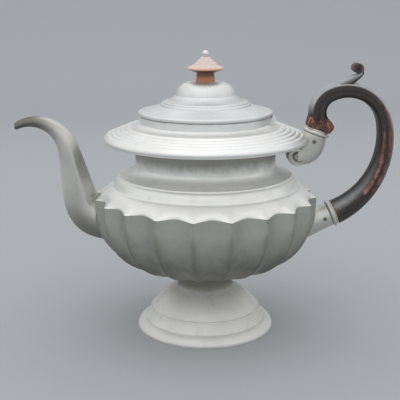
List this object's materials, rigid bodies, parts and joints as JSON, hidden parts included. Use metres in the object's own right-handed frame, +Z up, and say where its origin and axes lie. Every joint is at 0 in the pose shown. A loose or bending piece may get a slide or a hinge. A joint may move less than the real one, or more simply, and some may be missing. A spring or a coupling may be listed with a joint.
{
  "type": "footed teapot",
  "caption": "Footed pewter teapot with a fluted bowl, reeded collar, swan-neck spout, hinged domed lid with turned finial, and a carved wooden loop handle in cast sockets.",
  "frame": {"origin": "on the table under the pot's axis, at the middle of the foot", "axes": "+Z up, +X towards the handle and -X towards the spout, +Y to the far side of the picture"},
  "size_m": [0.289, 0.1684, 0.2164],
  "materials": {
    "pewter": "satin, tarnished tin alloy",
    "fittings": "dull tin alloy",
    "handle_wood": "black stained and worn",
    "finial_wood": "bleached turned wood"
  },
  "bodies": {
    "pot": {"foot": "pewter", "fluted_bowl": "pewter", "shoulder": "pewter", "collar": "pewter", "lid_seat_ring": "pewter", "spout": "pewter", "spout_strainer": "pewter", "upper_socket": "pewter", "lower_socket": "pewter", "handle": "handle_wood", "upper_handle_pin": "fittings", "lower_handle_pin": "fittings", "body_hinge_leaf": "fittings", "hinge_pin": "fittings"},
    "lid": {"lid": "pewter", "lid_flange": "pewter", "lid_hinge_leaf": "fittings", "finial": "finial_wood", "finial_stud": "pewter", "finial_washer": "fittings", "finial_nut": "fittings"}
  },
  "joints": [
    {"name": "lid_hinge", "type": "hinge", "parent": "pot", "child": "lid", "pos_m": [0.0502, 0, 0.1661], "axis": [0, 1, 0], "range_deg": [0, 95]}
  ]
}
